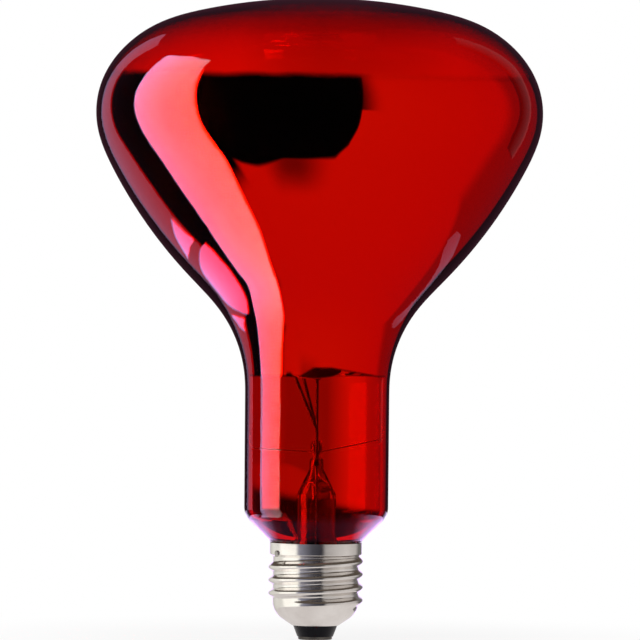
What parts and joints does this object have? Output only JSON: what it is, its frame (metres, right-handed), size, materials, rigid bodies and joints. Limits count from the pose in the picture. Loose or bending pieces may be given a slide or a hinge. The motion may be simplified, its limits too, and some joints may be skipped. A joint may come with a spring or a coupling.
{
  "type": "infrared heat lamp bulb",
  "caption": "Infrared reflector heat lamp: ruby glass bulb with a mirrored flank, glass stem, ring filament and a rolled screw cap with a centre contact.",
  "frame": {"origin": "on the lamp's axis at the outer face of the centre contact, the lowest point of the lamp", "axes": "+Z along the axis from the contact to the lamp's face, +X to the right and -Y towards the viewer of the picture"},
  "size_m": [0.125, 0.125, 0.1785],
  "materials": {
    "ruby_glass": "transparent red glass, polished",
    "stem_glass": "clear lead glass, fire polished",
    "bead_glass": "dark glass bead",
    "nickel_wire": "drawn nickel wire",
    "seal_wire": "copper-clad seal wire, oxidised",
    "copper_wire": "drawn copper wire",
    "molybdenum": "drawn molybdenum wire",
    "tungsten": "coiled tungsten wire, annealed",
    "shield_metal": "stamped sheet",
    "cap_metal": "nickel-plated rolled brass",
    "weld_metal": "dull weld spot",
    "black_glass": "fused black glass",
    "contact_metal": "stamped brass, dull",
    "solder": "dull solder",
    "cement": "baked cement"
  },
  "bodies": {
    "root": {"glass_envelope": "ruby_glass", "stem": "stem_glass", "exhaust_tube": "stem_glass", "arbor": "stem_glass", "inner_lead_front": "nickel_wire", "inner_lead_back": "nickel_wire", "centre_post": "nickel_wire", "seal_wire_front": "seal_wire", "seal_wire_back": "seal_wire", "outer_lead_side": "copper_wire", "outer_lead_centre": "copper_wire", "heat_shield": "shield_metal", "shield_collar": "nickel_wire", "brace_wire_left": "molybdenum", "brace_wire_right": "molybdenum", "support_bead": "bead_glass", "filament": "tungsten", "cap_shell": "cap_metal", "rim_weld": "weld_metal", "cap_insulator": "black_glass", "contact_plate": "contact_metal", "contact_solder": "solder", "basing_cement": "cement", "support_wire_1": "molybdenum", "support_wire_2": "molybdenum", "support_wire_3": "molybdenum", "support_wire_4": "molybdenum", "support_wire_5": "molybdenum"}
  },
  "joints": []
}
